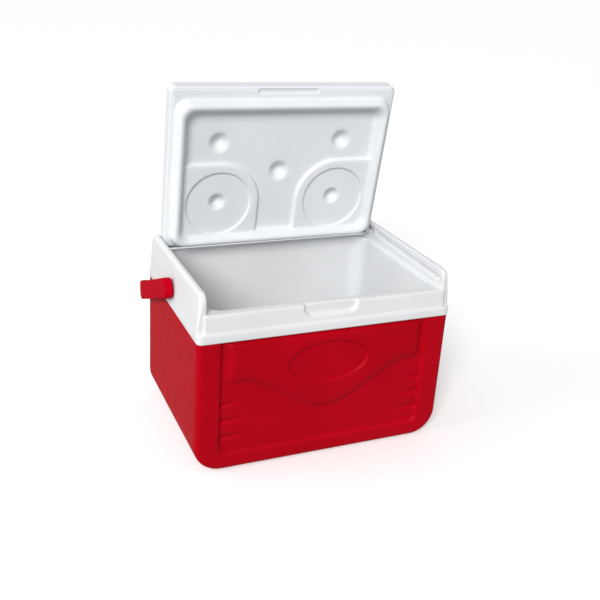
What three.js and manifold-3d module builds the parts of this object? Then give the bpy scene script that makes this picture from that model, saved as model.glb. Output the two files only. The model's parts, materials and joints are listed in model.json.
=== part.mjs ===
// Six-can personal cooler: a red moulded shell and a white tub with foam between them, a white
// flip lid that turns between two raised cheeks, and a red bail handle that hangs behind the body.
// Millimetres, +Z up, front towards -Y. The origin is the middle of the underside.

import * as THREE from 'three';
import { mergeVertices } from 'three/addons/utils/BufferGeometryUtils.js';
import Module from 'manifold-3d';

const wasm = await Module();
wasm.setup();

// ---------------------------------------------------------------- driving dimensions

const GAP = 0.3;              // clearance between pieces that are fitted together
const SKIN = 2.2;             // wall of the white mouldings
const PAST = 1;               // cutting tools run this far past the faces they open
const MIN_R = 2;              // smallest corner radius of an offset outline
const ROUND = 40;             // facets of the cup rests
const SMALL_ROUND = 32;       // facets of studs and bosses
const FINE_ROUND = 24;        // facets of pins and dimples

const BODY_W = 271;           // collar, side to side
const BODY_D = 184;           // collar, front to back
const EDGE_R = 6;             // upright corners of shell and collar

const SHELL_TOP = 140.2;      // top edge of the red shell
const SHELL_W = 270.4;        // measured at the top edge
const SHELL_D = 182.4;
const SIDE_FLARE = 0.6;       // each side stands out by this much more at the foot
const FRONT_FLARE = 1;        // so do the front and the back
const SHELL_WALL = 2.6;
const FRONT_WALL = 1.6;       // behind the deepest scoop
const SHELL_FOOT_R = 28;      // lower left and right corners, seen from the front

const PANEL_HALF_W = 112;     // sunken front panel
const PANEL_FOOT = 16.5;
const PANEL_DEPTH = 3.2;      // at the top edge
const PANEL_R = 9;
const FIELD_HALF_W = 103;     // raised field inside the panel, wavy along its lower edge
const FIELD_TOP = 136.6;
const FIELD_RISE = 2.4;
const WAVE_Z = 96;            // wave height at the sides of the field
const WAVE_DROP = 41;         // how far the wave falls at the middle
const WAVE_HALF_W = 95;
const WAVE_STEPS = 20;
const BADGE_RX = 43;          // plain oval pressed into the field
const BADGE_RZ = 21.5;
const BADGE_Z = 106;
const BADGE_DEPTH = 1;
const SCOOP_LENGTHS = [19, 27, 33];
const SCOOP_Z = 69;           // foot of the topmost scoop
const SCOOP_PITCH = 18;
const SCOOP_HEIGHT = 7;
const SCOOP_LIFT = 2;         // the tip of a scoop stands this far above its foot
const SCOOP_DEPTH = 1.5;
const SCOOP_INSET = 2;        // from the end of the panel

const COLLAR_FOOT = SHELL_TOP + GAP;
const STEP_Z = 150.3;         // fine step round the collar
const STEP_INSET = 0.6;
const FRONT_RIM = 168.6;
const SIDE_RIM = 168.3;
const REAR_RIM = 168;         // top of the rear wall, just clear of the lid's heel
const CHEEK_TOP = 188.5;
const CHEEK_GAP = 250.6;      // clear width between the cheeks
const CHEEK_TAPER = 3.4;      // outer face leans in by this much at the top
const CHEEK_SETBACK = 4.4;    // front edge leans back by this much at the top
const CHEEK_FRONT_R = 10;
const CHEEK_REAR_R = 5;

const TUB_HALF_W = 121;       // mouth of the tub
const TUB_FRONT = -78.3;
const TUB_REAR = 84.6;
const TUB_FLOOR = 20;
const TUB_DRAFT = 4;          // each wall leans in by this much at the floor
const TUB_R = 16;

const NOTCH_W = 57;           // finger notch in the front wall
const NOTCH_FOOT = 156.5;
const NOTCH_DEPTH = 5.5;
const NOTCH_R = 9;
const GROOVE_FRONT = [-74, 177.8];  // long groove in the inner face of each cheek, as [y, z]
const GROOVE_REAR = [56, 180.2];
const GROOVE_HALF_W = 1.6;
const GROOVE_DEPTH = 1;
const PIP_AT = [-78.3, 177.5];      // small round dent ahead of the groove
const PIP_R = 2;

const HINGE_Y = 83.3;         // lid pivot axis, parallel to X
const HINGE_Z = 180.5;
const LID_OPEN = 81.3;        // degrees, from shut to the modelled pose
const LID_W = 247.4;
const LID_FRONT = 173;        // from the pivot axis forward to the front edge
const LID_REAR = 5.7;         // from the pivot axis back to the rear edge
const LID_ABOVE = 6;          // top face above the pivot axis
const LID_BELOW = 10.9;       // lower rim of the cover below the pivot axis
const LID_R = 6;
const LID_BROW_R = 3;         // upper front edge
const HEEL_RUN = 3;           // bevel along the lower rear edge of the cover
const HEEL_RISE = 4;
const HEEL_R = 1;
const PIN_R = 2.4;
const PIN_HEAD_R = 3.2;
const PIN_HEAD = 3;
const PIN_CLEARANCE = 0.4;
const PIN_REACH = 3.4;        // into the cheek
const PIN_BEVEL = 0.6;
const SLOT_FRONT = 66;        // the pins are pushed in along a slot from here

const BORDER_Z = -11.3;       // underside of the lid's flat border
const PLUG_HEIGHT = 10;
const PLUG_HALF_W = 118.5;
const PLUG_FRONT = -160.6;
const PLUG_REAR = 0.1;
const PLUG_DRAFT = 3;
const PLUG_R = 13;
const PAN_HALF_W = 110;       // mouth of the pan inside the plug
const PAN_FRONT = -152.2;
const PAN_REAR = -8.2;
const PAN_DEPTH = 12;
const PAN_DRAFT = 4.5;
const PAN_R = 11;
const CUP_X = 67;             // two round cup rests on corner platforms
const CUP_Y = -46.7;
const CUP_R = 35.5;
const CUP_DEPTH = 2.4;
const PLATFORM_R = 45.5;
const PLATFORM_RISE = 4;
const PLATFORM_LAP = 2;       // the platforms run this far into the pan's walls
const DIMPLE_R = 10.5;        // tapered dimples that reach up to the cover
const CUP_DIMPLE_R = 8;
const DIMPLE_TIP_R = 3;
const DIMPLE_X = 69;
const DIMPLE_FRONT_Y = -114.2;
const DIMPLE_MIDDLE_Y = -81;
const FINGER_SLOT_W = 66;     // shallow slot in the border, over the finger notch
const FINGER_SLOT_FRONT = -170.4;
const FINGER_SLOT_REAR = -166.2;
const FINGER_SLOT_DEPTH = 1.4;

const HANDLE_Y = 0.3;         // handle pivot axis, parallel to X
const HANDLE_Z = 161.7;
const HANDLE_SLOPE = 23.3;    // degrees that the arms fall towards the back as it hangs
const ARM_INNER_X = 135.9;
const ARM_THICK = 8.5;
const ARM_W = 20.8;           // at the pivot
const ARM_TAIL_W = 19.6;      // at the bar
const ARM_LENGTH = 102.5;     // from the pivot axis to the far end
const ARM_NOSE = 9.8;         // from the pivot axis to the near end
const ARM_R = 7;
const ARM_BEVEL = 1;
const BOSS_R = 9.2;           // raised ring round the stud on the inside of the arm
const BOSS_HEIGHT = 0.9;
const BAR_Y = 92.8;           // inner face of the cross bar, just behind the body
const BAR_THICK = 7.6;
const BAR_FOOT = 114;
const BAR_HEIGHT = 17;
const BAR_R = 3;
const STUD_R = 4;             // pivot stud, shaft in the collar and head in the arm
const STUD_HEAD_R = 6.2;
const STUD_HEAD_X = 135.8;    // inner face of the head
const STUD_DEPTH = 6;
const STUD_HEAD = 5;
const STUD_CLEARANCE = 0.4;
const STUD_BEVEL = 0.8;

const RED = new THREE.Color(0xb8000f);
const WHITE = new THREE.Color(0xe9ebec);
const FOAM = new THREE.Color(0xf3efe2);

// ---------------------------------------------------------------- solids and booleans

function solidOf(geometry) {
  const bare = geometry.index ? geometry.toNonIndexed() : geometry.clone();
  bare.deleteAttribute('normal');
  bare.deleteAttribute('uv');
  const merged = mergeVertices(bare, 1e-4);
  return new wasm.Manifold(new wasm.Mesh({
    numProp: 3,
    vertProperties: new Float32Array(merged.attributes.position.array),
    triVerts: new Uint32Array(merged.index.array),
  }));
}

function join(...solids) {
  return solids.reduce((whole, piece) => whole.add(piece));
}

function cut(body, ...tools) {
  return tools.reduce((left, tool) => left.subtract(tool), body);
}

function meshOf(name, solid, color, roughness) {
  const data = solid.getMesh();
  const geometry = new THREE.BufferGeometry();
  geometry.setAttribute('position', new THREE.BufferAttribute(data.vertProperties, 3));
  geometry.setIndex(new THREE.BufferAttribute(data.triVerts, 1));
  geometry.computeVertexNormals();
  const material = new THREE.MeshStandardMaterial({ color, roughness, metalness: 0 });
  const mesh = new THREE.Mesh(geometry, material);
  mesh.name = name;
  return mesh;
}

// ---------------------------------------------------------------- outlines

// Rounded rectangle; radii run lower left, lower right, upper right, upper left.
function roundedRect(x0, x1, y0, y1, radii) {
  const [a, b, c, d] = Array.isArray(radii) ? radii : [radii, radii, radii, radii];
  const shape = new THREE.Shape();
  shape.moveTo(x0 + a, y0);
  shape.lineTo(x1 - b, y0);
  if (b) shape.absarc(x1 - b, y0 + b, b, -Math.PI / 2, 0);
  shape.lineTo(x1, y1 - c);
  if (c) shape.absarc(x1 - c, y1 - c, c, 0, Math.PI / 2);
  shape.lineTo(x0 + d, y1);
  if (d) shape.absarc(x0 + d, y1 - d, d, Math.PI / 2, Math.PI);
  shape.lineTo(x0, y0 + a);
  if (a) shape.absarc(x0 + a, y0 + a, a, Math.PI, 1.5 * Math.PI);
  return shape;
}

function extrude(shape, depth, curveSegments = 8) {
  return new THREE.ExtrudeGeometry(shape, { depth, curveSegments, bevelEnabled: false });
}

// Outline in X and Y, raised from z0 to z1.
function raised(shape, z0, z1, curveSegments) {
  return extrude(shape, z1 - z0, curveSegments).translate(0, 0, z0);
}

// Outline in X and Z, running back from y0 to y1.
function runBack(shape, y0, y1, curveSegments) {
  return extrude(shape, y1 - y0, curveSegments).rotateX(Math.PI / 2).translate(0, y1, 0);
}

// Outline in Y and Z, running across from x0 to x1.
function runAcross(shape, x0, x1, curveSegments) {
  const turn = new THREE.Matrix4().set(0, 0, 1, 0, 1, 0, 0, 0, 0, 1, 0, 0, 0, 0, 0, 1);
  return extrude(shape, x1 - x0, curveSegments).applyMatrix4(turn).translate(x0, 0, 0);
}

// Rounded block whose lower end is smaller by the drafts on each side.
function drafted(x0, x1, y0, y1, radius, z0, z1, draftX, draftY = draftX) {
  const geometry = raised(roundedRect(x0, x1, y0, y1, radius), z0, z1);
  const position = geometry.attributes.position;
  const middleX = (x0 + x1) / 2;
  const middleY = (y0 + y1) / 2;
  const shrinkX = 1 - 2 * draftX / (x1 - x0);
  const shrinkY = 1 - 2 * draftY / (y1 - y0);
  const halfway = (z0 + z1) / 2;
  for (let i = 0; i < position.count; i += 1) {
    if (position.getZ(i) < halfway) {
      position.setX(i, middleX + (position.getX(i) - middleX) * shrinkX);
      position.setY(i, middleY + (position.getY(i) - middleY) * shrinkY);
    }
  }
  return geometry;
}

// Turned piece with its axis along X, from [radius, distance] points.
function turned(profile, segments = FINE_ROUND) {
  const points = profile.map(([radius, along]) => new THREE.Vector2(radius, along));
  return new THREE.LatheGeometry(points, segments).rotateZ(-Math.PI / 2);
}

// Plain round bar along X on one side of the body, from one distance to another.
function rod(side, radius, from, to, segments) {
  const geometry = turned([[0, from], [radius, from], [radius, to], [0, to]], segments);
  return side > 0 ? geometry : geometry.rotateZ(Math.PI);
}

// ---------------------------------------------------------------- shell and foam

const panelFaceY = -SHELL_D / 2 + PANEL_DEPTH;
const shellFrontInner = panelFaceY + SCOOP_DEPTH + FRONT_WALL;

// Body block with the big lower corners, its front and its other sides moved in by two amounts.
function bodyBlock(inset, frontInset, z0, z1, footR) {
  const topHalfW = SHELL_W / 2 - inset;
  const frontY = -SHELL_D / 2 + frontInset;
  const rearY = SHELL_D / 2 - inset;
  const footHalfW = topHalfW + SIDE_FLARE;
  const elevation = roundedRect(-footHalfW, footHalfW, z0, z1, [footR, footR, 0, 0]);
  const upright = solidOf(runBack(elevation, frontY - FRONT_FLARE, rearY + FRONT_FLARE, 10));
  return upright.intersect(solidOf(drafted(
    -topHalfW, topHalfW, frontY, rearY, Math.max(EDGE_R - inset, MIN_R), z0, z1,
    -SIDE_FLARE, -FRONT_FLARE,
  )));
}

function waveZ(x) {
  const reach = Math.min(Math.abs(x) / WAVE_HALF_W, 1);
  return WAVE_Z - WAVE_DROP * (1 + Math.cos(Math.PI * reach)) / 2;
}

function frontField() {
  const shape = new THREE.Shape();
  shape.moveTo(-FIELD_HALF_W, FIELD_TOP);
  for (let i = 0; i <= WAVE_STEPS; i += 1) {
    const x = -FIELD_HALF_W + 2 * FIELD_HALF_W * i / WAVE_STEPS;
    shape.lineTo(x, waveZ(x));
  }
  shape.lineTo(FIELD_HALF_W, FIELD_TOP);
  return shape;
}

function badgeShape() {
  const shape = new THREE.Shape();
  shape.absellipse(0, BADGE_Z, BADGE_RX, BADGE_RZ, 0, 2 * Math.PI);
  return shape;
}

// Tapered scoops at each end of the panel, longer towards the foot.
function scoops() {
  const startX = PANEL_HALF_W - SCOOP_INSET;
  return SCOOP_LENGTHS.flatMap((length, row) => [-1, 1].map((side) => {
    const z = SCOOP_Z - SCOOP_PITCH * row;
    const shape = new THREE.Shape();
    shape.moveTo(side * startX, z);
    shape.lineTo(side * startX, z + SCOOP_HEIGHT);
    shape.lineTo(side * (startX - length), z + SCOOP_LIFT);
    return solidOf(runBack(shape, panelFaceY - PAST, panelFaceY + SCOOP_DEPTH));
  }));
}

function outerShell() {
  const outside = bodyBlock(0, 0, 0, SHELL_TOP, SHELL_FOOT_R);
  const frontInset = shellFrontInner + SHELL_D / 2;
  const innerFootR = SHELL_FOOT_R - SHELL_WALL;
  const inside = bodyBlock(SHELL_WALL, frontInset, SHELL_WALL, SHELL_TOP + PAST, innerFootR);
  const panelRadii = [PANEL_R, PANEL_R, 0, 0];
  const panelShape = roundedRect(-PANEL_HALF_W, PANEL_HALF_W, PANEL_FOOT, SHELL_TOP + PAST, panelRadii);
  const panel = solidOf(runBack(panelShape, -BODY_D, panelFaceY));
  const fieldFace = panelFaceY - FIELD_RISE;
  const field = solidOf(runBack(frontField(), fieldFace, panelFaceY + PAST));
  const badge = solidOf(runBack(badgeShape(), fieldFace - PAST, fieldFace + BADGE_DEPTH, FINE_ROUND));
  const relief = cut(panel, field).add(badge);
  return cut(outside, inside, relief, ...scoops());
}

function tubOutside(extra) {
  const grow = SKIN + extra;
  return solidOf(drafted(
    -TUB_HALF_W - grow, TUB_HALF_W + grow, TUB_FRONT - grow, TUB_REAR + grow,
    TUB_R + grow, TUB_FLOOR - grow, FRONT_RIM, TUB_DRAFT,
  ));
}

function foamCore() {
  const inset = SHELL_WALL + GAP;
  const frontInset = shellFrontInner + GAP + SHELL_D / 2;
  const block = bodyBlock(inset, frontInset, inset, SHELL_TOP, SHELL_FOOT_R - inset);
  return cut(block, tubOutside(GAP));
}

// ---------------------------------------------------------------- tub and collar

function collarBand(inset, z0, z1) {
  const halfW = BODY_W / 2 - inset;
  const halfD = BODY_D / 2 - inset;
  return solidOf(raised(roundedRect(-halfW, halfW, -halfD, halfD, EDGE_R), z0, z1));
}

function cheekBlanks() {
  const front = -BODY_D / 2 + STEP_INSET;
  const rear = BODY_D / 2 - STEP_INSET;
  const side = new THREE.Shape();
  side.moveTo(front, STEP_Z);
  side.lineTo(rear, STEP_Z);
  side.lineTo(rear, CHEEK_TOP - CHEEK_REAR_R);
  side.absarc(rear - CHEEK_REAR_R, CHEEK_TOP - CHEEK_REAR_R, CHEEK_REAR_R, 0, Math.PI / 2);
  side.lineTo(front + CHEEK_SETBACK + CHEEK_FRONT_R, CHEEK_TOP);
  side.absarc(
    front + CHEEK_SETBACK + CHEEK_FRONT_R, CHEEK_TOP - CHEEK_FRONT_R, CHEEK_FRONT_R,
    Math.PI / 2, Math.PI,
  );
  const outline = solidOf(runAcross(side, -BODY_W / 2, BODY_W / 2));
  const footX = BODY_W / 2 - STEP_INSET;
  const section = new THREE.Shape();
  section.moveTo(-footX, STEP_Z);
  section.lineTo(footX, STEP_Z);
  section.lineTo(footX - CHEEK_TAPER, CHEEK_TOP);
  section.lineTo(-footX + CHEEK_TAPER, CHEEK_TOP);
  return outline.intersect(solidOf(runBack(section, -BODY_D / 2, BODY_D / 2)))
    .intersect(collarBand(STEP_INSET, STEP_Z, CHEEK_TOP));
}

function collarTools() {
  const past = BODY_D / 2 + PAST;
  const halfGap = CHEEK_GAP / 2;
  const betweenCheeks = roundedRect(-halfGap, halfGap, SIDE_RIM, CHEEK_TOP + PAST, 0);
  const aboveRearRim = roundedRect(-halfGap, halfGap, REAR_RIM, CHEEK_TOP + PAST, 0);
  const notchHalf = NOTCH_W / 2;
  const notchRadii = [NOTCH_R, NOTCH_R, 0, 0];
  const notch = roundedRect(-notchHalf, notchHalf, NOTCH_FOOT, FRONT_RIM + PAST, notchRadii);
  const frontFace = -BODY_D / 2 + STEP_INSET;
  return [
    solidOf(runBack(betweenCheeks, -past, past)),
    solidOf(runBack(aboveRearRim, TUB_REAR, past)),
    solidOf(runBack(notch, -past, frontFace + NOTCH_DEPTH)),
    solidOf(drafted(
      -TUB_HALF_W, TUB_HALF_W, TUB_FRONT, TUB_REAR, TUB_R, TUB_FLOOR, CHEEK_TOP + PAST, TUB_DRAFT,
    )),
  ];
}

// Blind sockets for the lid's pins, each with its entry slot, and for the handle's studs.
function socketTools() {
  const pinStart = CHEEK_GAP / 2 - PAST;
  const pinEnd = CHEEK_GAP / 2 + PIN_REACH + GAP;
  const slotHalf = PIN_R + PIN_CLEARANCE;
  const slotShape = roundedRect(SLOT_FRONT, HINGE_Y, HINGE_Z - slotHalf, HINGE_Z + slotHalf, 0);
  const studStart = BODY_W / 2 - STUD_DEPTH - GAP;
  const studEnd = BODY_W / 2 + PAST;
  const socketR = STUD_R + GAP;
  return [-1, 1].flatMap((side) => [
    solidOf(rod(side, slotHalf, pinStart, pinEnd, FINE_ROUND).translate(0, HINGE_Y, HINGE_Z)),
    solidOf(runAcross(slotShape, side > 0 ? pinStart : -pinEnd, side > 0 ? pinEnd : -pinStart)),
    solidOf(rod(side, socketR, studStart, studEnd, SMALL_ROUND).translate(0, HANDLE_Y, HANDLE_Z)),
  ]);
}

// A long groove and a small round dent in the inner face of each cheek.
function cheekMarks() {
  const start = CHEEK_GAP / 2 - PAST;
  const end = CHEEK_GAP / 2 + GROOVE_DEPTH;
  const groove = new THREE.Shape();
  groove.moveTo(GROOVE_FRONT[0], GROOVE_FRONT[1] - GROOVE_HALF_W);
  groove.lineTo(GROOVE_REAR[0], GROOVE_REAR[1] - GROOVE_HALF_W);
  groove.lineTo(GROOVE_REAR[0], GROOVE_REAR[1] + GROOVE_HALF_W);
  groove.lineTo(GROOVE_FRONT[0], GROOVE_FRONT[1] + GROOVE_HALF_W);
  return [-1, 1].flatMap((side) => [
    solidOf(runAcross(groove, side > 0 ? start : -end, side > 0 ? end : -start)),
    solidOf(rod(side, PIP_R, start, end, FINE_ROUND).translate(0, ...PIP_AT)),
  ]);
}

function tubLiner() {
  const collar = join(collarBand(0, COLLAR_FOOT, STEP_Z), cheekBlanks());
  return cut(join(collar, tubOutside(0)), ...collarTools(), ...socketTools(), ...cheekMarks());
}

// ---------------------------------------------------------------- lid, about its pivot axis

// Side view of the lid cover, moved in by a wall; the rear end is round about the pivot axis.
function lidProfile(inset, below) {
  const top = LID_ABOVE - inset;
  const shape = new THREE.Shape();
  shape.moveTo(-LID_FRONT + inset, -below);
  shape.lineTo(LID_REAR - inset - HEEL_RUN, -below);
  shape.lineTo(LID_REAR - inset, -below + HEEL_RISE);
  shape.lineTo(LID_REAR - inset, 0);
  shape.absarc(LID_REAR - top, 0, top, 0, Math.PI / 2);
  shape.lineTo(-LID_FRONT + inset + LID_BROW_R, top);
  shape.absarc(-LID_FRONT + inset + LID_BROW_R, top - LID_BROW_R, LID_BROW_R, Math.PI / 2, Math.PI);
  return shape;
}

function lidCover() {
  const halfW = LID_W / 2;
  const plan = roundedRect(-halfW, halfW, -LID_FRONT, LID_REAR, [LID_R, LID_R, HEEL_R, HEEL_R]);
  const outside = solidOf(runAcross(lidProfile(0, LID_BELOW), -halfW, halfW))
    .intersect(solidOf(raised(plan, -LID_BELOW, LID_ABOVE)));
  const hollowSide = lidProfile(SKIN, LID_BELOW + PAST);
  const hollow = solidOf(runAcross(hollowSide, -halfW + SKIN, halfW - SKIN));
  const pinBore = solidOf(rod(1, PIN_R + GAP, -halfW - PAST, halfW + PAST, FINE_ROUND));
  return cut(outside, hollow, pinBore);
}

// Outline of both cup platforms: round towards the middle, square to the side and the rear.
function platform(side, z0, z1) {
  const outerX = PAN_HALF_W + PLATFORM_LAP;
  const rearY = PAN_REAR + PLATFORM_LAP;
  const disc = new THREE.CylinderGeometry(PLATFORM_R, PLATFORM_R, z1 - z0, ROUND)
    .rotateX(Math.PI / 2).translate(side * CUP_X, CUP_Y, (z0 + z1) / 2);
  const xs = [side * CUP_X, side * outerX].sort((a, b) => a - b);
  const inner = [side * (CUP_X - PLATFORM_R), side * outerX].sort((a, b) => a - b);
  const toSide = raised(roundedRect(xs[0], xs[1], CUP_Y - PLATFORM_R, CUP_Y, 0), z0, z1);
  const toRear = raised(roundedRect(inner[0], inner[1], CUP_Y, rearY, 0), z0, z1);
  return join(solidOf(disc), solidOf(toSide), solidOf(toRear));
}

function dimpleCone([x, y, mouthR], wallExtra, z0, z1) {
  const profile = [[0, z0], [mouthR + wallExtra, z0], [DIMPLE_TIP_R + wallExtra, z1], [0, z1]]
    .map(([radius, z]) => new THREE.Vector2(radius, z));
  return solidOf(new THREE.LatheGeometry(profile, FINE_ROUND).rotateX(Math.PI / 2).translate(x, y, 0));
}

function lidUnderside() {
  const floorZ = BORDER_Z - PLUG_HEIGHT + PAN_DEPTH;
  const plateTop = floorZ + SKIN;
  const plateHalfW = LID_W / 2 - SKIN - GAP;
  const plateRear = LID_REAR - SKIN - GAP - HEEL_RUN;
  const plateRadii = [LID_R, LID_R, HEEL_R, HEEL_R];
  const plateFront = -LID_FRONT + SKIN + GAP;
  const plateShape = roundedRect(-plateHalfW, plateHalfW, plateFront, plateRear, plateRadii);
  const plate = solidOf(raised(plateShape, BORDER_Z, plateTop));
  const plug = solidOf(drafted(
    -PLUG_HALF_W, PLUG_HALF_W, PLUG_FRONT, PLUG_REAR, PLUG_R,
    BORDER_Z - PLUG_HEIGHT, BORDER_Z, PLUG_DRAFT,
  ));
  const pan = solidOf(drafted(
    -PAN_HALF_W + PAN_DRAFT, PAN_HALF_W - PAN_DRAFT, PAN_FRONT + PAN_DRAFT, PAN_REAR - PAN_DRAFT,
    PAN_R, BORDER_Z - PLUG_HEIGHT, floorZ, -PAN_DRAFT,
  ));
  const platformFace = floorZ - PLATFORM_RISE;
  const platforms = [-1, 1].map((side) => platform(side, platformFace, floorZ + PAST));
  const cups = [-1, 1].map((side) => solidOf(
    new THREE.CylinderGeometry(CUP_R, CUP_R, CUP_DEPTH + PAST, ROUND).rotateX(Math.PI / 2)
      .translate(side * CUP_X, CUP_Y, platformFace + (CUP_DEPTH - PAST) / 2),
  ));
  const slotHalf = FINGER_SLOT_W / 2;
  const slotShape = roundedRect(-slotHalf, slotHalf, FINGER_SLOT_FRONT, FINGER_SLOT_REAR, 0);
  const fingerSlot = solidOf(raised(slotShape, BORDER_Z - PAST, BORDER_Z + FINGER_SLOT_DEPTH));
  const coverInside = LID_ABOVE - SKIN;
  const bossTop = coverInside - GAP;
  const dimples = [
    [-DIMPLE_X, DIMPLE_FRONT_Y, DIMPLE_R], [DIMPLE_X, DIMPLE_FRONT_Y, DIMPLE_R],
    [0, DIMPLE_MIDDLE_Y, DIMPLE_R], [-CUP_X, CUP_Y, CUP_DIMPLE_R], [CUP_X, CUP_Y, CUP_DIMPLE_R],
  ];
  const bosses = dimples.map((dimple) => dimpleCone(dimple, SKIN, floorZ, bossTop));
  const hollows = dimples.map((dimple) => dimpleCone(dimple, 0, platformFace, bossTop - SKIN));
  const pressed = join(cut(join(plate, plug), pan), ...platforms, ...bosses);
  return cut(pressed, fingerSlot, ...cups, ...hollows);
}

// Snap-in pin: a head inside the cover and a shaft that reaches into the cheek.
function hingePin(side) {
  const headInner = LID_W / 2 - SKIN - GAP - PIN_HEAD;
  const headOuter = LID_W / 2 - SKIN - GAP;
  const tip = CHEEK_GAP / 2 + PIN_REACH;
  const profile = [[0, headInner], [PIN_HEAD_R, headInner], [PIN_HEAD_R, headOuter], [PIN_R, headOuter],
    [PIN_R, tip - PIN_BEVEL], [PIN_R - PIN_BEVEL, tip], [0, tip]];
  const geometry = turned(profile);
  return solidOf(side > 0 ? geometry : geometry.rotateZ(Math.PI));
}

// ---------------------------------------------------------------- handle, in its hanging pose

// Arm in side view: a tapered strap with a rounded nose round the pivot and a nearly square tail.
function armProfile() {
  const nose = ARM_W / 2;
  const tail = ARM_TAIL_W / 2;
  const shape = new THREE.Shape();
  shape.moveTo(-ARM_NOSE + ARM_R, -nose);
  shape.lineTo(ARM_LENGTH - ARM_BEVEL, -tail);
  shape.lineTo(ARM_LENGTH, -tail + ARM_BEVEL);
  shape.lineTo(ARM_LENGTH, tail - ARM_BEVEL);
  shape.lineTo(ARM_LENGTH - ARM_BEVEL, tail);
  shape.lineTo(-ARM_NOSE + ARM_R, nose);
  shape.absarc(-ARM_NOSE + ARM_R, nose - ARM_R, ARM_R, Math.PI / 2, Math.PI);
  shape.absarc(-ARM_NOSE + ARM_R, ARM_R - nose, ARM_R, Math.PI, 1.5 * Math.PI);
  return shape;
}

function carryHandle() {
  const outerX = ARM_INNER_X + ARM_THICK;
  const barShape = roundedRect(BAR_Y, BAR_Y + BAR_THICK, BAR_FOOT, BAR_FOOT + BAR_HEIGHT, BAR_R);
  const bar = solidOf(runAcross(barShape, -outerX, outerX, 4));
  const slope = -THREE.MathUtils.degToRad(HANDLE_SLOPE);
  const arms = [-1, 1].map((side) => {
    const x0 = side > 0 ? ARM_INNER_X : -outerX;
    const arm = runAcross(armProfile(), x0, x0 + ARM_THICK).rotateX(slope);
    const ring = rod(side, BOSS_R, ARM_INNER_X - BOSS_HEIGHT, ARM_INNER_X + PAST, SMALL_ROUND);
    return join(solidOf(arm), solidOf(ring)).translate([0, HANDLE_Y, HANDLE_Z]);
  });
  const socketR = STUD_HEAD_R + STUD_CLEARANCE;
  const socketStart = ARM_INNER_X - BOSS_HEIGHT - PAST;
  const socketEnd = STUD_HEAD_X + STUD_HEAD + GAP;
  const sockets = [-1, 1].map((side) => solidOf(
    rod(side, socketR, socketStart, socketEnd, SMALL_ROUND).translate(0, HANDLE_Y, HANDLE_Z),
  ));
  return cut(join(bar, ...arms), ...sockets);
}

// Stud with its shaft in the collar's socket and its head in the arm's socket.
function handleStud(side) {
  const shaftStart = BODY_W / 2 - STUD_DEPTH;
  const headEnd = STUD_HEAD_X + STUD_HEAD;
  const profile = [[0, shaftStart], [STUD_R, shaftStart], [STUD_R, STUD_HEAD_X],
    [STUD_HEAD_R, STUD_HEAD_X], [STUD_HEAD_R, headEnd - STUD_BEVEL],
    [STUD_HEAD_R - STUD_BEVEL, headEnd], [0, headEnd]];
  const geometry = turned(profile, SMALL_ROUND);
  if (side < 0) geometry.rotateZ(Math.PI);
  return solidOf(geometry.translate(0, HANDLE_Y, HANDLE_Z));
}

// ---------------------------------------------------------------- assembly

const cooler = new THREE.Group();
cooler.add(
  meshOf('outer_shell', outerShell(), RED, 0.45),
  meshOf('foam_core', foamCore(), FOAM, 0.9),
  meshOf('tub_liner', tubLiner(), WHITE, 0.4),
  meshOf('carry_handle', carryHandle(), RED, 0.4),
  meshOf('handle_stud_left', handleStud(-1), WHITE, 0.4),
  meshOf('handle_stud_right', handleStud(1), WHITE, 0.4),
);

const lid = new THREE.Group();
lid.position.set(0, HINGE_Y, HINGE_Z);
lid.rotation.x = -THREE.MathUtils.degToRad(LID_OPEN);
lid.add(
  meshOf('lid_cover', lidCover(), WHITE, 0.4),
  meshOf('lid_underside', lidUnderside(), WHITE, 0.4),
  meshOf('hinge_pin_left', hingePin(-1), WHITE, 0.4),
  meshOf('hinge_pin_right', hingePin(1), WHITE, 0.4),
);
cooler.add(lid);

export default cooler;
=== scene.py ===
"""Looks of the personal cooler: each moulding is a distance field with filleted edges, turned into a mesh."""

import json
import math

import bpy
import numpy as np
import openvdb
from mathutils import Matrix, Vector


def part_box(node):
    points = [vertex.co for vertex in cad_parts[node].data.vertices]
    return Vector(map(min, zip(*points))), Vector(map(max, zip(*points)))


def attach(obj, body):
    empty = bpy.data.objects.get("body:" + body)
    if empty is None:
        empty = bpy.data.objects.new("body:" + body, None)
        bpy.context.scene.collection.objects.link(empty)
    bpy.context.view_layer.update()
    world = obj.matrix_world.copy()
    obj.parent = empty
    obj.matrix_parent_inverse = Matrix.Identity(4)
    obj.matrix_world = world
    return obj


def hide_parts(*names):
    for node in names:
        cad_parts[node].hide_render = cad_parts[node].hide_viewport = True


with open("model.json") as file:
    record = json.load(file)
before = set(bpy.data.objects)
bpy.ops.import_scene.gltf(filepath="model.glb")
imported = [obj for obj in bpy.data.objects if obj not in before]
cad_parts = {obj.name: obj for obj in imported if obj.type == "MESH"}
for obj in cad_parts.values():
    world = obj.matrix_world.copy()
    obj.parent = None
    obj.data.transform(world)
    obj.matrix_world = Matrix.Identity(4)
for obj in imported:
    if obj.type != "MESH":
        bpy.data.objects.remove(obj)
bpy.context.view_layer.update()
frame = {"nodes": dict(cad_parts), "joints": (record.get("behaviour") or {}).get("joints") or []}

MM = 0.001  # the fields below are in millimetres


def box_mm(node):
    """Lowest and highest corner of a CAD node, in millimetres."""
    low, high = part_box(node)
    return np.array(low) / MM, np.array(high) / MM


def joint_position(name):
    joint = next(j for j in frame["joints"] if j["name"] == name)
    return Vector(joint["pos_m"])


# ---------------------------------------------------------------- camera

CAMERA_TARGET = Vector((0.0068, 0.0, 0.1328))
CAMERA_DISTANCE = 0.8952
CAMERA_AZIMUTH = math.radians(-24.85)
CAMERA_ELEVATION = math.radians(23.23)
CAMERA_ROLL = math.radians(4.11)
CAMERA_LENS = 50.02
CAMERA_SENSOR = 36


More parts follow.
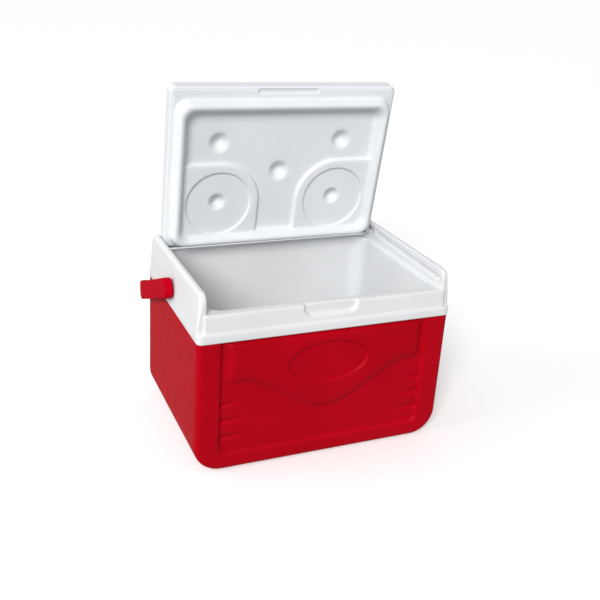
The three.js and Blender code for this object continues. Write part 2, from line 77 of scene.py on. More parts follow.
def add_camera():
    data = bpy.data.cameras.new("camera")
    data.sensor_width = CAMERA_SENSOR
    data.lens = CAMERA_LENS
    camera = bpy.data.objects.new("camera", data)
    bpy.context.scene.collection.objects.link(camera)
    level = math.cos(CAMERA_ELEVATION)
    back = Vector(
        (math.sin(CAMERA_AZIMUTH) * level, -math.cos(CAMERA_AZIMUTH) * level, math.sin(CAMERA_ELEVATION))
    )
    aim = (-back).to_track_quat("-Z", "Y").to_matrix()
    turn = (aim @ Matrix.Rotation(CAMERA_ROLL, 3, "Z")).to_4x4()
    camera.matrix_world = Matrix.Translation(CAMERA_TARGET + back * CAMERA_DISTANCE) @ turn
    bpy.context.scene.camera = camera


# ---------------------------------------------------------------- distance fields

MARGIN_STEPS = 3
BAND_STEPS = 3
MESH_ADAPTIVITY = 0.01


def grid_over(low, high, step):
    """Sparse x, y and z sample positions over a box, with room for the surface to close."""
    margin = MARGIN_STEPS * step
    axes = [np.arange(a - margin, b + margin, step, dtype=np.float32) for a, b in zip(low, high)]
    return np.meshgrid(*axes, indexing="ij", sparse=True)


def rect(u, v, half_u, half_v, radius):
    """Distance to a rectangle with round corners, in two dimensions."""
    du = np.abs(u) - half_u + radius
    dv = np.abs(v) - half_v + radius
    outside = np.hypot(np.maximum(du, 0), np.maximum(dv, 0))
    return outside + np.minimum(np.maximum(du, dv), 0) - radius


def rect_between(u, v, u_range, v_range, radius):
    """The same rectangle, given by its limits."""
    u0, u1 = u_range
    v0, v1 = v_range
    return rect(u - (u0 + u1) / 2, v - (v0 + v1) / 2, (u1 - u0) / 2, (v1 - v0) / 2, radius)


def span(u, low, high):
    return np.maximum(low - u, u - high)


def meet(a, b, radius):
    """Intersection whose outer edge is rounded."""
    corner = np.hypot(np.maximum(a + radius, 0), np.maximum(b + radius, 0))
    return np.minimum(-radius, np.maximum(a, b)) + corner


def join(a, b, radius):
    """Union whose inner edge is filled with a round."""
    corner = np.hypot(np.maximum(radius - a, 0), np.maximum(radius - b, 0))
    return np.maximum(radius, np.minimum(a, b)) - corner


def carve(a, b, radius):
    """a without b, with the new outer edge rounded."""
    return meet(a, -b, radius)


def ease(value, low, high):
    """0 up to low, 1 from high on, and smooth between."""
    t = np.clip((value - low) / (high - low), 0, 1)
    return t * t * (3 - 2 * t)


def moulding(name, field, axes, step, place=None):
    """Mesh of the zero surface of a field; place is a matrix in metres."""
    band = BAND_STEPS * step
    grid = openvdb.FloatGrid(band)
    grid.copyFromArray(np.clip(field, -band, band).astype(np.float32))
    points, triangles, quads = grid.convertToPolygons(isovalue=0.0, adaptivity=MESH_ADAPTIVITY)
    corner = np.array([axis.flat[0] for axis in axes])
    points = (points * step + corner) * MM
    mesh = bpy.data.meshes.new(name)
    mesh.vertices.add(len(points))
    mesh.vertices.foreach_set("co", points.astype(np.float32).ravel())
    corners = np.concatenate([quads[:, ::-1].ravel(), triangles[:, ::-1].ravel()]).astype(np.int32)
    sizes = np.concatenate([np.full(len(quads), 4), np.full(len(triangles), 3)])
    starts = np.concatenate([[0], np.cumsum(sizes)[:-1]]).astype(np.int32)
    mesh.loops.add(len(corners))
    mesh.loops.foreach_set("vertex_index", corners)
    mesh.polygons.add(len(sizes))
    mesh.polygons.foreach_set("loop_start", starts)
    mesh.update(calc_edges=True)
    mesh.validate()
    if place is not None:
        mesh.transform(place)
    mesh.shade_smooth()
    piece = bpy.data.objects.new(name, mesh)
    bpy.context.scene.collection.objects.link(piece)
    return piece


# ---------------------------------------------------------------- red shell

SHELL_STEP = 0.8
SHELL_HALF_W = 135.2
SHELL_HALF_D = 91.2
SIDE_FLARE = 0.6
FRONT_FLARE = 1.0
SHELL_WALL = 2.6
SHELL_INNER_FRONT = -84.5
SHELL_FOOT_R = 28.0
SHELL_EDGE_R = 5.5
PANEL_HALF_W = 112.0
PANEL_FOOT = 16.5
PANEL_DEPTH = 3.8
PANEL_LEAN = 1.4
PANEL_SLOPE_W = 3.0
PANEL_R = 10.0
FIELD_HALF_W = 103.0
FIELD_TOP = 136.6
FIELD_RISE = 3.5
WAVE_Z = 96.0
WAVE_DROP = 41.0
WAVE_HALF_W = 95.0
WAVE_X = 2.0
ROLL_W = 12.0
END_SLOPE_W = 9.0
BADGE_RX, BADGE_RZ = 43.0, 21.5
BADGE_X, BADGE_Z = 2.0, 106.0
BADGE_DEPTH = 2.1
SCOOP_FEET = (69.0, 51.0, 33.0)
SCOOP_LENGTHS = (19.0, 27.0, 34.0)
SCOOP_HEIGHT = 10.0
SCOOP_DEPTH = 2.4
SCOOP_INSET = 2.0
SCOOP_TILT = 2.5
SCOOP_TAPER = 0.6
SCOOP_FADE = 0.8
SCOOP_LEDGE = 1.2
SCOOP_SLOPE_START = 0.8
ROLL_START = 1.0
ROLL_FULLNESS = 0.8
FIELD_TOP_BEVEL = (-1.4, 1.8)
BADGE_SLOPE = 1.3
SHELL_INNER_R = 4.0
SHELL_RIM_R = 0.6
SEAM_Y = 12.0
SEAM_HEIGHT = 0.35
SEAM_W = 0.8


def scoop_depth(x, z):
    """Tapered scoops at both ends of the panel: a slope that goes in on the way down, then a ledge."""
    depth = 0
    for foot, length in zip(SCOOP_FEET, SCOOP_LENGTHS):
        along = np.clip((PANEL_HALF_W - SCOOP_INSET - np.abs(x)) / length, 0, 1)
        height = SCOOP_HEIGHT * (1 - SCOOP_TAPER * along)
        rise = z - foot - SCOOP_TILT * along
        ledge = ease(rise, -SCOOP_LEDGE, SCOOP_LEDGE)
        slope = 1 - ease(rise, SCOOP_SLOPE_START, height)
        depth = depth + SCOOP_DEPTH * (1 - along) ** SCOOP_FADE * ledge * slope
    return depth


def front_relief(x, z, lower):
    """How far the front face is pressed in, in millimetres."""
    panel = rect_between(x, z, (-PANEL_HALF_W, PANEL_HALF_W), (PANEL_FOOT, 2 * FIELD_TOP), PANEL_R)
    wave_reach = np.clip((x - WAVE_X) / WAVE_HALF_W, -1, 1)
    wave = WAVE_Z - WAVE_DROP * (1 + np.cos(np.pi * wave_reach)) / 2
    steepness = WAVE_DROP * np.pi / WAVE_HALF_W / 2 * np.sin(np.pi * wave_reach)
    above_wave = (z - wave) / np.sqrt(1 + steepness**2)
    roll = np.clip((above_wave + ROLL_START) / ROLL_W, 0, 1)
    field = (1 - (1 - roll) ** 2) ** ROLL_FULLNESS
    field = field * ease(FIELD_HALF_W - np.abs(x), -END_SLOPE_W / 2, END_SLOPE_W / 2)
    field = field * (1 - ease(z - FIELD_TOP, *FIELD_TOP_BEVEL))
    badge_ring = np.hypot((x - BADGE_X) / BADGE_RX, (z - BADGE_Z) / BADGE_RZ)
    badge = 1 - ease((badge_ring - 1) * BADGE_RZ * BADGE_SLOPE, -1.0, 1.0)
    pressed = PANEL_DEPTH - PANEL_LEAN * lower - FIELD_RISE * field + BADGE_DEPTH * badge
    return (pressed + scoop_depth(x, z) * (1 - field)) * (1 - ease(panel, -PANEL_SLOPE_W, 1.0))


def make_shell():
    low, high = box_mm("outer_shell")
    top = high[2]
    axes = grid_over(low, high, SHELL_STEP)
    x, y, z = axes
    lower = np.clip(1 - z / top, 0, 1)
    half_w = SHELL_HALF_W + SIDE_FLARE * lower
    half_d = SHELL_HALF_D + FRONT_FLARE * lower
    elevation = rect(x, z - top, half_w, top, SHELL_FOOT_R)
    seam = np.exp(-(((y - SEAM_Y) / SEAM_W) ** 2)) * ease(np.abs(x), half_w - 2, half_w - 1)
    relief = front_relief(x, z, lower)
    faces = np.maximum(-half_d + relief - y, y - half_d)
    outside = meet(elevation - SEAM_HEIGHT * seam, faces, SHELL_EDGE_R)
    inner_faces = np.maximum(SHELL_INNER_FRONT - y, y - half_d + SHELL_WALL)
    inside = meet(elevation + SHELL_WALL, inner_faces, SHELL_INNER_R)
    body = carve(meet(outside, z - top, SHELL_RIM_R), inside, SHELL_RIM_R)
    return moulding("shell_moulding", body, axes, SHELL_STEP)


# ---------------------------------------------------------------- tub and collar

TUB_STEP = 0.8
COLLAR_R = 6.0
STEP_Z = 150.3
STEP_INSET = 0.6
RIM_Z = 168.4
CHEEK_HALF_GAP = 125.3
CHEEK_TAPER = 3.4
CHEEK_SETBACK = 4.4
CHEEK_TOP_R = 9.0
BEAD_X = 130.0
BEAD_DROP = 2.2
TUB_HALF_W = 121.0
TUB_FRONT = -78.3
TUB_REAR = 84.6
TUB_FLOOR = 20.0
TUB_DRAFT = 4.0
TUB_R = 16.0
TUB_FLOOR_R = 12.0
TUB_SKIN = 2.2
NOTCH_HALF_W = 28.5
NOTCH_FOOT = 156.5
NOTCH_DEPTH = 6.1
NOTCH_R = 9.0
GROOVE_START = (-74.0, 177.8)
GROOVE_END = (56.0, 180.2)
GROOVE_HALF_W = 1.6
GROOVE_DEPTH = 1.0
PIP_AT = (-78.3, 177.5)
PIP_R = 2.4
SLOT_FRONT = 66.0
SLOT_HALF_H = 2.8
SLOT_DEPTH = 3.7
SLOT_R = 2.5
SLOT_EDGE_R = 0.5
COLLAR_GAP = 0.3
COLLAR_EDGE_R = 0.7
CHEEK_EDGE_R = 1.4
BEAD_EDGE_R = 1.0
WALL_OVERLAP = 3.0
WALL_INSET = 0.8
WALL_LEAN = 2.0
MOUTH_EDGE_R = 1.8
NOTCH_FLOOR_R = 3.0


def cheek_details(y, z, inner_face):
    """Cutters in the inner faces of the cheeks: a long groove, a pip and the slot for the lid's pin."""
    (y0, z0), (y1, z1) = GROOVE_START, GROOVE_END
    t = np.clip((y - y0) / (y1 - y0), 0, 1)
    line = np.hypot(y - (y0 + t * (y1 - y0)), z - (z0 + t * (z1 - z0))) - GROOVE_HALF_W
    groove = np.hypot(np.maximum(line, 0), inner_face) - GROOVE_DEPTH
    pip = np.sqrt((y - PIP_AT[0]) ** 2 + (z - PIP_AT[1]) ** 2 + inner_face**2) - PIP_R
    hinge = joint_position("lid_hinge") / MM
    slot_ends = (SLOT_FRONT, hinge.y + SLOT_HALF_H)
    slot_rise = (hinge.z - SLOT_HALF_H, hinge.z + SLOT_HALF_H)
    slot = meet(rect_between(y, z, slot_ends, slot_rise, SLOT_R), inner_face - SLOT_DEPTH, SLOT_EDGE_R)
    return groove, pip, np.maximum(slot, -2 - inner_face)


def make_tub():
    low, high = box_mm("tub_liner")
    half_w, half_d, cheek_top = high[0], high[1], high[2]
    collar_foot = box_mm("outer_shell")[1][2] + COLLAR_GAP
    axes = grid_over(low, high, TUB_STEP)
    x, y, z = axes
    reach = np.abs(x)
    up = np.clip((z - STEP_Z) / (cheek_top - STEP_Z), 0, 1)
    step_d = half_d - STEP_INSET

    band = meet(rect(x, y, half_w, half_d, COLLAR_R), span(z, collar_foot, STEP_Z), COLLAR_EDGE_R)

    cheek_face = reach - (half_w - STEP_INSET - CHEEK_TAPER * up)
    plan = meet(cheek_face, CHEEK_SETBACK * up - step_d - y, COLLAR_R)
    plan = meet(plan, y - step_d, COLLAR_R)
    profile = rect_between(y, z, (CHEEK_SETBACK - step_d, step_d), (0, cheek_top), CHEEK_TOP_R)
    cheek = meet(np.maximum(plan, profile), CHEEK_HALF_GAP - reach, CHEEK_EDGE_R)
    bead = np.maximum(BEAD_X - reach, cheek_top - BEAD_DROP - z)
    cheek = carve(cheek, bead, BEAD_EDGE_R)

    wall_lean = WALL_INSET + WALL_LEAN * np.clip((z - STEP_Z) / (RIM_Z - STEP_Z), 0, 1)
    wall_faces = np.maximum(wall_lean - step_d - y, y - step_d)
    walls = np.maximum(reach - CHEEK_HALF_GAP - WALL_OVERLAP, wall_faces)
    block = meet(walls, z - RIM_Z, CHEEK_EDGE_R)
    upper = np.maximum(np.minimum(cheek, block), STEP_Z - 2 - z)

    lean = TUB_DRAFT * (RIM_Z - z) / (RIM_Z - TUB_FLOOR)
    middle, half_y = (TUB_REAR + TUB_FRONT) / 2, (TUB_REAR - TUB_FRONT) / 2
    cavity = rect(x, y - middle, TUB_HALF_W - lean, half_y - lean, TUB_R)
    mouth = meet(cavity, TUB_FLOOR - z, TUB_FLOOR_R)
    skin = meet(cavity - TUB_SKIN, TUB_FLOOR - TUB_SKIN - z, TUB_FLOOR_R + TUB_SKIN)
    body = np.minimum(np.minimum(band, upper), np.maximum(skin, z - STEP_Z))
    body = carve(body, mouth, MOUTH_EDGE_R)

    notch_range = (NOTCH_FOOT, 2 * RIM_Z - NOTCH_FOOT)
    notch = rect_between(x, z, (-NOTCH_HALF_W, NOTCH_HALF_W), notch_range, NOTCH_R)
    body = carve(body, meet(notch, y + half_d - NOTCH_DEPTH, NOTCH_FLOOR_R), CHEEK_EDGE_R)
    for cutter in cheek_details(y, z, reach - CHEEK_HALF_GAP):
        body = carve(body, cutter, SLOT_EDGE_R)
    return moulding("tub_moulding", body, axes, TUB_STEP)


# ---------------------------------------------------------------- lid, about its pivot axis

LID_STEP = 0.65
LID_OPEN = math.radians(81.3)
LID_HALF_W = 123.6
LID_FRONT, LID_REAR = -172.9, 5.6
LID_TOP, LID_RIM = 5.9, -10.9
LID_CORNER_R = 6.0
LID_EDGE_R = 2.2
LID_SKIN = 2.2
HEEL_CUT = 6.9
PIN_BORE_R = 2.7
PIN_BORE_START = 110.0
PLATE_HALF_W = 121.7
PLATE_Y = (-171.0, 0.2)
PLATE_Z = (-11.3, -7.1)
PLUG_HALF_W = 118.5
PLUG_Y = (-160.6, 0.1)
PLUG_FOOT = -21.3
PLUG_LEAN = 3.0
PLUG_R = 13.0
PAN_HALF_W = 110.0
PAN_Y = (-152.2, -8.2)
PAN_FLOOR = -9.3
PAN_LEAN = 4.5
PAN_R = 11.0
CUP_X, CUP_Y, CUP_R = 67.0, -46.7, 35.5
CUP_DEPTH = 2.4
PLATFORM_R = 45.5
PLATFORM_RISE = 4.0
DIMPLE_R, DIMPLE_TIP_R = 10.5, 3.0
CUP_DIMPLE_R = 7.8
DIMPLE_TIP_Z = -1.0
BOSS_TOP = 3.5
DIMPLES = ((68.0, -114.2, DIMPLE_R), (-70.0, -114.2, DIMPLE_R), (-1.0, -81.0, DIMPLE_R))
CUP_DIMPLES = ((CUP_X - 1, CUP_Y - 2, CUP_DIMPLE_R), (-CUP_X - 1, CUP_Y - 2, CUP_DIMPLE_R))
LATCH_Y, LATCH_HALF_W, LATCH_HALF_D = -168.4, 33.0, 2.2
LATCH_DEPTH = 1.4
LATCH_R = 2.0
LATCH_EDGE_R = 0.5
COVER_EDGE_R = 0.4
PLATE_R, PLATE_EDGE_R = 5.0, 0.3
PLUG_EDGE_R = 3.0
PLUG_ROOT_R = 2.0
PAN_EDGE_R = 3.0
PLATFORM_EDGE_R = 2.6
PLATFORM_ROOT_R = 1.6
CUP_EDGE_R = 1.2
DIMPLE_TIP_EDGE_R = 1.5
DIMPLE_MOUTH_EDGE_R = 1.8
BOSS_SKIN = 2.2


def lid_place():
    return Matrix.Translation(joint_position("lid_hinge")) @ Matrix.Rotation(-LID_OPEN, 4, "X")


def lid_slab(x, y, z, inset, below):
    """Solid slab with a rounded rear end, moved in by a wall on every side but the lower one."""
    front, rear, top = LID_FRONT + inset, LID_REAR - inset, LID_TOP - inset
    plan_r = max(LID_CORNER_R - inset, 2)
    plan = rect_between(x, y, (inset - LID_HALF_W, LID_HALF_W - inset), (front, rear), plan_r)
    rear_round = np.hypot(np.maximum(y - (rear - top), 0), np.maximum(z, 0)) - top
    edge_r = max(LID_EDGE_R - inset / 2, 0.5)
    return meet(np.maximum(plan, rear_round), span(z, -below, top), edge_r)


def make_lid_cover():
    axes = grid_over((-LID_HALF_W, LID_FRONT, LID_RIM), (LID_HALF_W, LID_REAR, LID_TOP), LID_STEP)
    x, y, z = axes
    hollow = lid_slab(x, y, z, LID_SKIN, 30)
    cover = carve(lid_slab(x, y, z, 0, -LID_RIM), hollow, COVER_EDGE_R)
    pin_bore = np.maximum(np.hypot(y, z) - PIN_BORE_R, PIN_BORE_START - np.abs(x))
    cover = np.maximum(cover, -pin_bore)
    cover = np.maximum(cover, (y - LID_REAR - (z + HEEL_CUT)) / math.sqrt(2))
    return moulding("lid_cover_moulding", cover, axes, LID_STEP, lid_place())


def cone(x, y, z, centre_x, centre_y, mouth_r, tip_r, tip_z):
    """Tapered plug with a rounded tip, widest at the pan's floor."""
    run = (z - PAN_FLOOR) / (tip_z - PAN_FLOOR)
    side = np.hypot(x - centre_x, y - centre_y) - (mouth_r + (tip_r - mouth_r) * run)
    return meet(side * 0.8, z - tip_z, DIMPLE_TIP_EDGE_R)


def cup_platforms(x, y, z, pan_outline):
    """Raised platforms: round towards the middle, square to the side and the rear."""
    side = np.abs(x)
    dx, dy = side - CUP_X, y - CUP_Y
    disc = np.hypot(dx, dy) - PLATFORM_R
    to_side = np.maximum(-dx, np.abs(dy) - PLATFORM_R)
    to_rear = np.maximum(-dx - PLATFORM_R, -dy)
    outline = np.minimum(disc, np.minimum(to_side, to_rear))
    outline = np.maximum(outline, pan_outline - 1.5)
    face = PAN_FLOOR - PLATFORM_RISE
    platform = meet(outline, span(z, face, PAN_FLOOR + 1.5), PLATFORM_EDGE_R)
    cup = meet(np.hypot(dx, dy) - CUP_R, span(z, face - 8, face + CUP_DEPTH), CUP_EDGE_R)
    return platform, cup


def make_lid_underside():
    low = (-PLATE_HALF_W, PLATE_Y[0], PLUG_FOOT)
    axes = grid_over(low, (PLATE_HALF_W, PLUG_Y[1], BOSS_TOP), LID_STEP)
    x, y, z = axes
    outline = rect_between(x, y, (-PLATE_HALF_W, PLATE_HALF_W), PLATE_Y, PLATE_R)
    plate = meet(outline, span(z, *PLATE_Z), PLATE_EDGE_R)
    lean = PLUG_LEAN * np.clip((PLATE_Z[0] - z) / (PLATE_Z[0] - PLUG_FOOT), 0, 1)
    middle, half_y = (PLUG_Y[0] + PLUG_Y[1]) / 2, (PLUG_Y[1] - PLUG_Y[0]) / 2
    plug = rect(x, y - middle, PLUG_HALF_W - lean, half_y - lean * 0.8, PLUG_R)
    body = join(plate, meet(plug, span(z, PLUG_FOOT, -8), PLUG_EDGE_R), PLUG_ROOT_R)
    lean = PAN_LEAN * np.clip((z - PLUG_FOOT) / (PAN_FLOOR - PLUG_FOOT), 0, 1)
    middle, half_y = (PAN_Y[0] + PAN_Y[1]) / 2, (PAN_Y[1] - PAN_Y[0]) / 2
    pan_outline = rect(x, y - middle, PAN_HALF_W - lean, half_y - lean, PAN_R)
    body = carve(body, meet(pan_outline, z - PAN_FLOOR, PAN_EDGE_R), PAN_EDGE_R)

    platform, cup = cup_platforms(x, y, z, pan_outline)
    body = carve(join(body, platform, PLATFORM_ROOT_R), cup, CUP_EDGE_R)
    for centre_x, centre_y, mouth_r in DIMPLES + CUP_DIMPLES:
        boss_r, boss_tip_r = mouth_r + BOSS_SKIN, DIMPLE_TIP_R + BOSS_SKIN
        boss = cone(x, y, z, centre_x, centre_y, boss_r, boss_tip_r, BOSS_TOP)
        body = np.minimum(body, np.maximum(boss, PAN_FLOOR - z))
    for centre_x, centre_y, mouth_r in DIMPLES + CUP_DIMPLES:
        dimple = cone(x, y, z, centre_x, centre_y, mouth_r, DIMPLE_TIP_R, DIMPLE_TIP_Z)
        body = carve(body, dimple, DIMPLE_MOUTH_EDGE_R)

    latch = rect(x, y - LATCH_Y, LATCH_HALF_W, LATCH_HALF_D, LATCH_R)
    latch = meet(latch, span(z, -14, PLATE_Z[0] + LATCH_DEPTH), LATCH_EDGE_R)
    body = carve(body, latch, LATCH_EDGE_R)
    return moulding("lid_underside_moulding", body, axes, LID_STEP, lid_place())


# ---------------------------------------------------------------- handle

HANDLE_STEP = 0.7
HANDLE_SLOPE = math.radians(23.3)
ARM_INNER_X = 135.9
ARM_HALF_W, ARM_TAIL_HALF_W = 10.4, 9.8
ARM_LENGTH, ARM_NOSE = 102.5, 9.8
ARM_NOSE_R = 7.0
BAR_THICK = 7.6
BAR_Z = (114.0, 131.0)
BAIL_CORNER_R = 7.0
BOSS_R, BOSS_HEIGHT = 9.2, 0.9
STUD_SOCKET_R = 6.6
STUD_SOCKET_END = 141.1
TAIL_EDGE_R = 1.8
ARM_EDGE_R = 1.2
BAR_R = 3.0
BAIL_EDGE_R = 1.6
BOSS_EDGE_R = 0.3
ARM_OVERRUN = 20


def make_handle():
    low, high = box_mm("carry_handle")
    axes = grid_over(low, high, HANDLE_STEP)
    x, y, z = axes
    reach = np.abs(x)
    outer_x, rear = high[0], high[1]
    pivot = joint_position("handle_swing") / MM
    dy, dz = y - pivot.y, z - pivot.z
    along = dy * math.cos(HANDLE_SLOPE) - dz * math.sin(HANDLE_SLOPE)
    across = dy * math.sin(HANDLE_SLOPE) + dz * math.cos(HANDLE_SLOPE)
    half_w = ARM_HALF_W + (ARM_TAIL_HALF_W - ARM_HALF_W) * np.clip(along / ARM_LENGTH, 0, 1)
    middle = (ARM_LENGTH + ARM_OVERRUN - ARM_NOSE) / 2
    strap = rect(along - middle, across, middle + ARM_NOSE, half_w, ARM_NOSE_R)
    strap = meet(strap, along - ARM_LENGTH, TAIL_EDGE_R)
    arm = meet(strap, ARM_INNER_X - reach, ARM_EDGE_R)
    bar = rect_between(y, z, (rear - BAR_THICK, rear), BAR_Z, BAR_R)
    body = join(arm, np.maximum(bar, reach - outer_x), BAR_R)
    corner_y = rear - BAIL_CORNER_R
    corner = np.hypot(np.maximum(reach - outer_x + BAIL_CORNER_R, 0), np.maximum(y - corner_y, 0))
    plan = np.maximum(reach - outer_x, corner - BAIL_CORNER_R)
    body = meet(body, np.maximum(plan, y - rear), BAIL_EDGE_R)
    hub = np.hypot(dy, dz)
    boss_span = span(reach, ARM_INNER_X - BOSS_HEIGHT, ARM_INNER_X + 1)
    boss = meet(hub - BOSS_R, boss_span, BOSS_EDGE_R)
    body = np.minimum(body, boss)
    socket = np.maximum(hub - STUD_SOCKET_R, span(reach, ARM_INNER_X - 3, STUD_SOCKET_END))
    return moulding("handle_moulding", np.maximum(body, -socket), axes, HANDLE_STEP)


# ---------------------------------------------------------------- materials

MOTTLE_SCALE = 14
MOTTLE_RANGE = (0.35, 0.65)
EDGE_RANGE = (0.53, 0.62)
PATCH_SCALE = 90
PATCH_RANGE = (0.45, 0.7)
PATCH_LIMIT = 0.6
GLOSS_SCALE = 60
GLOSS_RANGE = (0.3, 0.7)
GLOSS_LESS, GLOSS_MORE = 0.05, 0.06
WAVINESS_SCALE = 22
WAVINESS_STRENGTH = 0.12
WAVINESS_HEIGHT = 0.001
GRAIN_HEIGHT = 0.0003


def new_material(name, color, roughness):
    material = bpy.data.materials.new(name)
    material.use_nodes = True
    shader = material.node_tree.nodes["Principled BSDF"]
    shader.inputs["Base Color"].default_value = (*color, 1)
    shader.inputs["Roughness"].default_value = roughness
    return material, material.node_tree, shader


def add_noise(tree, place, scale, detail, rough):
    node = tree.nodes.new("ShaderNodeTexNoise")
    node.inputs["Scale"].default_value = scale
    node.inputs["Detail"].default_value = detail
    node.inputs["Roughness"].default_value = rough
    tree.links.new(place.outputs["Object"], node.inputs["Vector"])
    return node


def add_range(tree, source, from_range, to_range):
    node = tree.nodes.new("ShaderNodeMapRange")
    node.inputs["From Min"].default_value, node.inputs["From Max"].default_value = from_range
    node.inputs["To Min"].default_value, node.inputs["To Max"].default_value = to_range
    tree.links.new(source, node.inputs["Value"])
    return node.outputs["Result"]


def moulded_plastic(name, dark, light, worn, roughness, specular, grain_scale, grain):
    """Moulded plastic: faint mottling, lighter rubbed edges, uneven gloss and a fine grain."""
    material, tree, shader = new_material(name, light, roughness)
    nodes, links = tree.nodes, tree.links
    place = nodes.new("ShaderNodeTexCoord")
    shader.inputs["Specular IOR Level"].default_value = specular

    mottle = add_noise(tree, place, MOTTLE_SCALE, 4, 0.6)
    ramp = nodes.new("ShaderNodeValToRGB")
    ramp.color_ramp.elements[0].position = MOTTLE_RANGE[0]
    ramp.color_ramp.elements[0].color = (*dark, 1)
    ramp.color_ramp.elements[1].position = MOTTLE_RANGE[1]
    ramp.color_ramp.elements[1].color = (*light, 1)
    links.new(mottle.outputs["Fac"], ramp.inputs["Fac"])

    surface = nodes.new("ShaderNodeNewGeometry")
    edge = add_range(tree, surface.outputs["Pointiness"], EDGE_RANGE, (0, 1))
    patches = add_noise(tree, place, PATCH_SCALE, 4, 0.7)
    patchy = add_range(tree, patches.outputs["Fac"], PATCH_RANGE, (0, PATCH_LIMIT))
    rubbed = nodes.new("ShaderNodeMath")
    rubbed.operation = "MULTIPLY"
    links.new(edge, rubbed.inputs[0])
    links.new(patchy, rubbed.inputs[1])
    blend = nodes.new("ShaderNodeMix")
    blend.data_type = "RGBA"
    links.new(rubbed.outputs["Value"], blend.inputs["Factor"])
    links.new(ramp.outputs["Color"], blend.inputs["A"])
    blend.inputs["B"].default_value = (*worn, 1)
    links.new(blend.outputs["Result"], shader.inputs["Base Color"])

    gloss = add_noise(tree, place, GLOSS_SCALE, 3, 0.6)
    rough_range = (roughness - GLOSS_LESS, roughness + GLOSS_MORE)
    spread = add_range(tree, gloss.outputs["Fac"], GLOSS_RANGE, rough_range)
    links.new(spread, shader.inputs["Roughness"])

    fine_noise = add_noise(tree, place, grain_scale, 2, 0.5)
    wave_noise = add_noise(tree, place, WAVINESS_SCALE, 1, 0.4)
    coarse = nodes.new("ShaderNodeBump")
    coarse.inputs["Strength"].default_value = WAVINESS_STRENGTH
    coarse.inputs["Distance"].default_value = WAVINESS_HEIGHT
    fine = nodes.new("ShaderNodeBump")
    fine.inputs["Strength"].default_value = grain
    fine.inputs["Distance"].default_value = GRAIN_HEIGHT
    links.new(wave_noise.outputs["Fac"], coarse.inputs["Height"])
    links.new(fine_noise.outputs["Fac"], fine.inputs["Height"])
    links.new(coarse.outputs["Normal"], fine.inputs["Normal"])
    links.new(fine.outputs["Normal"], shader.inputs["Normal"])
    return material


def finish_piece(piece, body, slot, material, *nodes):
    piece.data.materials.clear()
    piece.data.materials.append(material)
    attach(piece, body)
    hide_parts(*nodes)


# ---------------------------------------------------------------- stage

FLOOR_SIZE = 60
WORLD_STRENGTH = 0.43
KEY_STRENGTH = 2.75
KEY_SPREAD = math.radians(24)
KEY_FROM = Vector((-0.62, -0.87, 0.68))
SIDE_POWER = 9
FLOOR_GLOW = 0.1
FLOOR_DROP = 0.0005
FLOOR_COLOR = (0.99, 0.99, 0.99)
SIDE_SIZE = 1.0
SIDE_FROM = (-1.5, 0.1, 0.7)
SIDE_AIM = (0, 0, 0.12)


def add_stage():
    bpy.ops.mesh.primitive_plane_add(size=FLOOR_SIZE, location=(0, 0, -FLOOR_DROP))
    floor = bpy.context.object
    floor.name = "studio_floor"
    material, tree, shader = new_material("studio_floor", FLOOR_COLOR, 0.9)
    shader.inputs["Specular IOR Level"].default_value = 0.0
    shader.inputs["Emission Color"].default_value = (1, 1, 1, 1)
    shader.inputs["Emission Strength"].default_value = FLOOR_GLOW
    floor.data.materials.append(material)
    floor.visible_diffuse = False
    floor.visible_glossy = False


def add_light(data, position, target):
    light = bpy.data.objects.new(data.name, data)
    bpy.context.scene.collection.objects.link(light)
    light.location = position
    light.rotation_euler = (Vector(target) - Vector(position)).to_track_quat("-Z", "Y").to_euler()


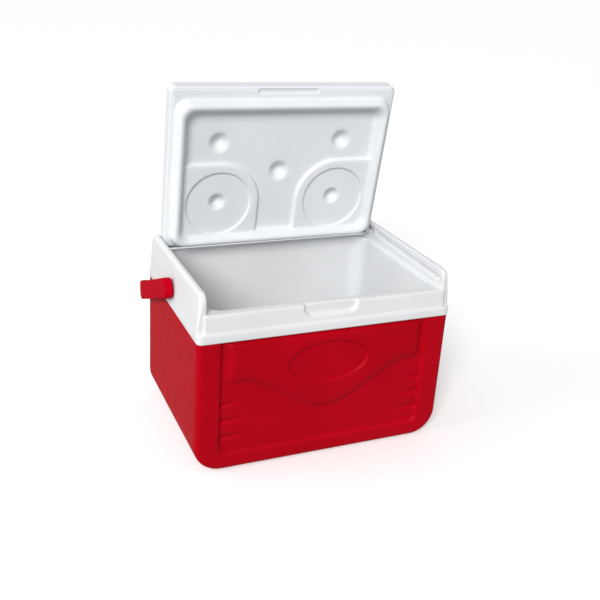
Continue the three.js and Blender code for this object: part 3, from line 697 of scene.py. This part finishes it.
def add_lights():
    world = bpy.data.worlds.new("studio")
    bpy.context.scene.world = world
    world.use_nodes = True
    background = world.node_tree.nodes["Background"]
    background.inputs["Color"].default_value = (1, 1, 1, 1)
    background.inputs["Strength"].default_value = WORLD_STRENGTH
    key = bpy.data.lights.new("key", "SUN")
    key.energy = KEY_STRENGTH
    key.angle = KEY_SPREAD
    add_light(key, KEY_FROM, (0, 0, 0))
    side = bpy.data.lights.new("side", "AREA")
    side.shape = "RECTANGLE"
    side.size, side.size_y = SIDE_SIZE, SIDE_SIZE
    side.energy = SIDE_POWER
    add_light(side, SIDE_FROM, SIDE_AIM)
    bpy.context.scene.view_settings.view_transform = "Standard"


add_camera()
red = moulded_plastic(
    "red_shell_plastic", (0.38, 0.0, 0.005), (0.43, 0.0, 0.008), (0.58, 0.02, 0.03), 0.46, 0.06, 1900, 0.5
)
red_satin = moulded_plastic(
    "red_handle_plastic", (0.41, 0.0, 0.008), (0.45, 0.0, 0.01), (0.58, 0.02, 0.03), 0.56, 0.02, 900, 0.12
)
white = moulded_plastic(
    "white_tub_plastic", (0.68, 0.69, 0.7), (0.72, 0.73, 0.74), (0.8, 0.8, 0.8), 0.42, 0.3, 1500, 0.15
)
lid_white = moulded_plastic(
    "white_lid_plastic", (0.72, 0.74, 0.76), (0.76, 0.78, 0.8), (0.85, 0.85, 0.86), 0.42, 0.3, 1500, 0.15
)
pin_white = moulded_plastic(
    "white_pin_plastic", (0.7, 0.71, 0.72), (0.75, 0.76, 0.77), (0.8, 0.8, 0.8), 0.45, 0.3, 900, 0.1
)
foam = moulded_plastic(
    "foam", (0.72, 0.66, 0.5), (0.8, 0.74, 0.58), (0.85, 0.8, 0.68), 0.9, 0.1, 500, 0.8
)

finish_piece(make_shell(), "body", "red_shell", red, "outer_shell")
finish_piece(make_tub(), "body", "white_tub", white, "tub_liner")
finish_piece(make_lid_cover(), "lid", "white_lid", lid_white, "lid_cover")
finish_piece(make_lid_underside(), "lid", "white_lid", lid_white, "lid_underside")
finish_piece(make_handle(), "handle", "red_handle", red_satin, "carry_handle")
for node in ("hinge_pin_left", "hinge_pin_right", "handle_stud_left", "handle_stud_right"):
    frame["nodes"][node].data.materials[0] = pin_white
frame["nodes"]["foam_core"].data.materials[0] = foam
add_stage()
add_lights()
